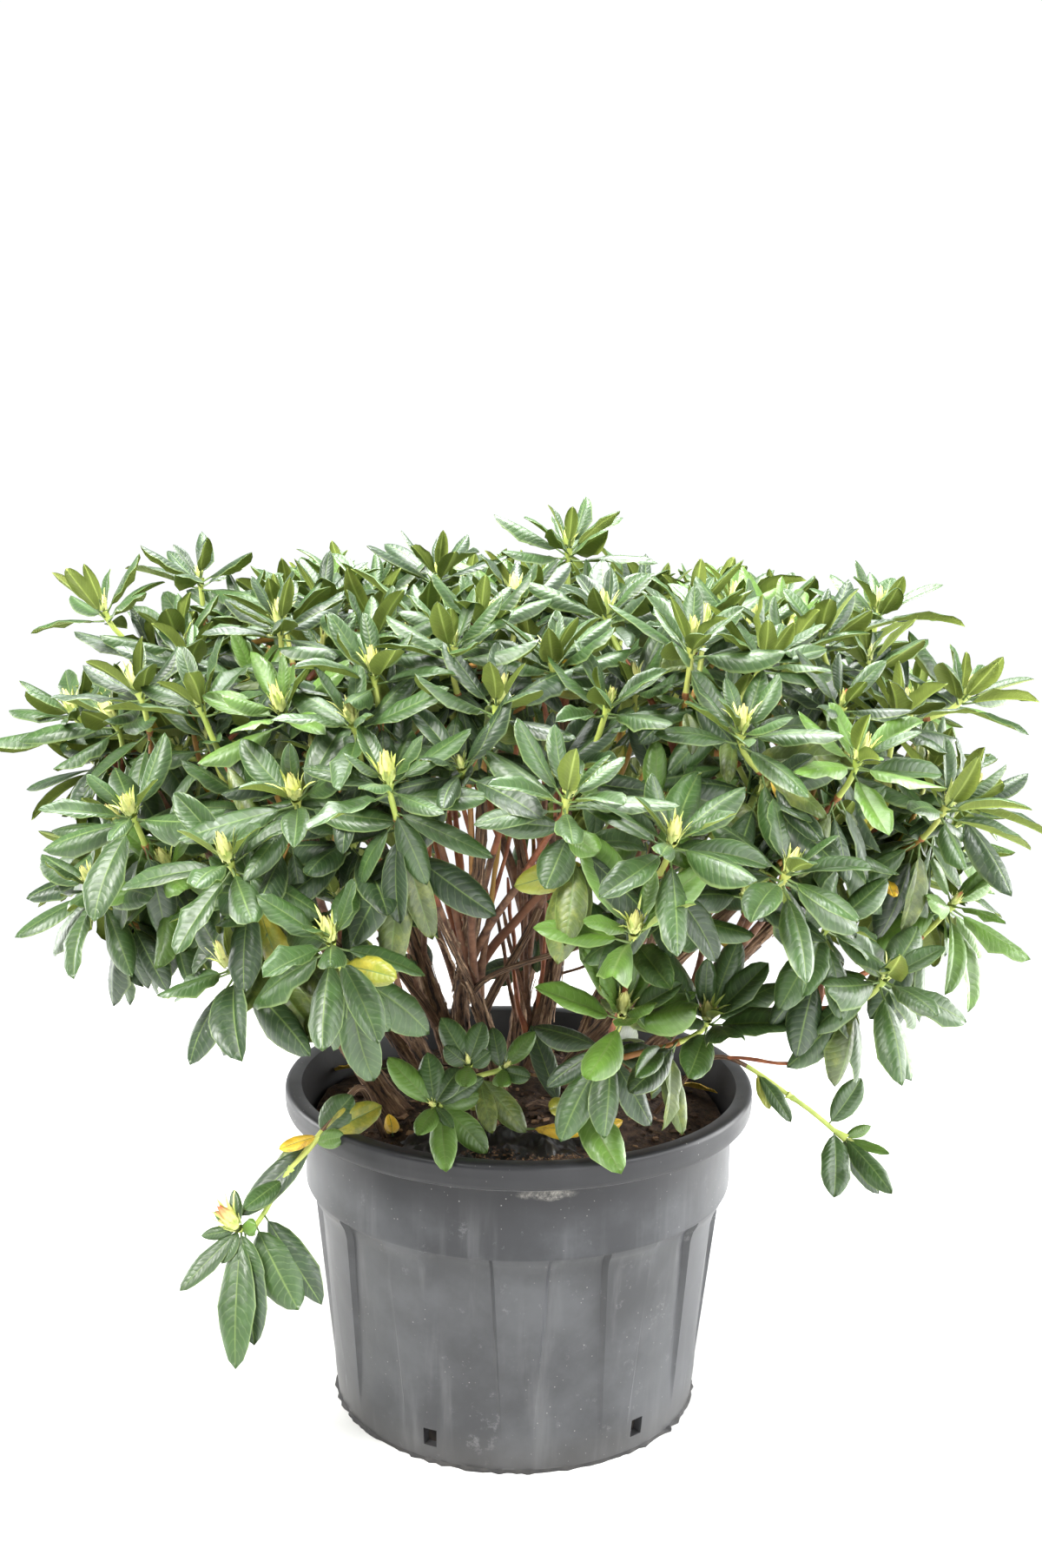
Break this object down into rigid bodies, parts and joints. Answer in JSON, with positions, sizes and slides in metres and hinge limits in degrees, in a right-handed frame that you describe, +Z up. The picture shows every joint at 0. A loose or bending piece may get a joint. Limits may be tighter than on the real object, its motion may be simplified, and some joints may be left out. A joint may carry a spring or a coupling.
{
  "type": "potted rhododendron shrub",
  "caption": "Evergreen rhododendron shrub with whorled leathery leaves, pale flower buds and bare leaning stems, in a black fluted nursery tub.",
  "frame": {"origin": "centre of the tub's flat underside", "axes": "+Z up, +X along the plant's widest spread, -Y towards the open front where the stems show"},
  "size_m": [1.5439, 1.4221, 1.4003],
  "materials": {
    "tub": "matte black recycled plastic with a light sheen",
    "soil": "dark brown peat with bark chips",
    "bark": "fissured brown bark",
    "leaf": "satin dark green leaf"
  },
  "bodies": {
    "root": {"tub": "tub", "soil": "soil", "stem_left": "bark", "stem_left_inner": "bark", "stem_front_left": "bark", "stem_upright": "bark", "stem_fork": "bark", "stem_middle": "bark", "stem_front_right": "bark", "stem_right": "bark", "stem_back_right": "bark", "stem_back": "bark", "stem_back_left": "bark", "shoot_front_right": "bark", "shoot_front": "bark", "shoot_low_right": "bark", "shoot_weeping": "bark", "bough_low_left": "bark", "bough_low_back_left": "bark", "bough_low_left_front": "bark", "bough_shoulder_left_front": "bark", "bough_side_front_right": "bark", "bough_shoulder_front_right": "bark", "bough_low_right": "bark", "bough_shoulder_right": "bark", "bough_top_right": "bark", "bough_top_back": "bark", "bough_low_back_right": "bark", "bough_side_back_right": "bark", "bough_shoulder_back_left": "bark", "foliage_top_middle": "leaf", "foliage_top_front": "leaf", "foliage_top_right": "leaf", "foliage_top_back": "leaf", "foliage_shoulder_left": "leaf", "foliage_shoulder_left_front": "leaf", "foliage_shoulder_front_right": "leaf", "foliage_shoulder_right": "leaf", "foliage_shoulder_back_right": "leaf", "foliage_shoulder_back_left": "leaf", "foliage_side_left": "leaf", "foliage_side_left_front": "leaf", "foliage_side_front_left": "leaf", "foliage_side_front_right": "leaf", "foliage_side_right_front": "leaf", "foliage_side_right": "leaf", "foliage_side_back_right": "leaf", "foliage_side_back": "leaf", "foliage_side_back_left": "leaf", "foliage_low_left": "leaf", "foliage_low_left_front": "leaf", "foliage_low_right": "leaf", "foliage_low_back_right": "leaf", "foliage_low_back_left": "leaf", "foliage_low_front_right": "leaf", "foliage_low_tip_right": "leaf", "foliage_weeping_left": "leaf", "foliage_sprig_front": "leaf"}
  },
  "joints": []
}
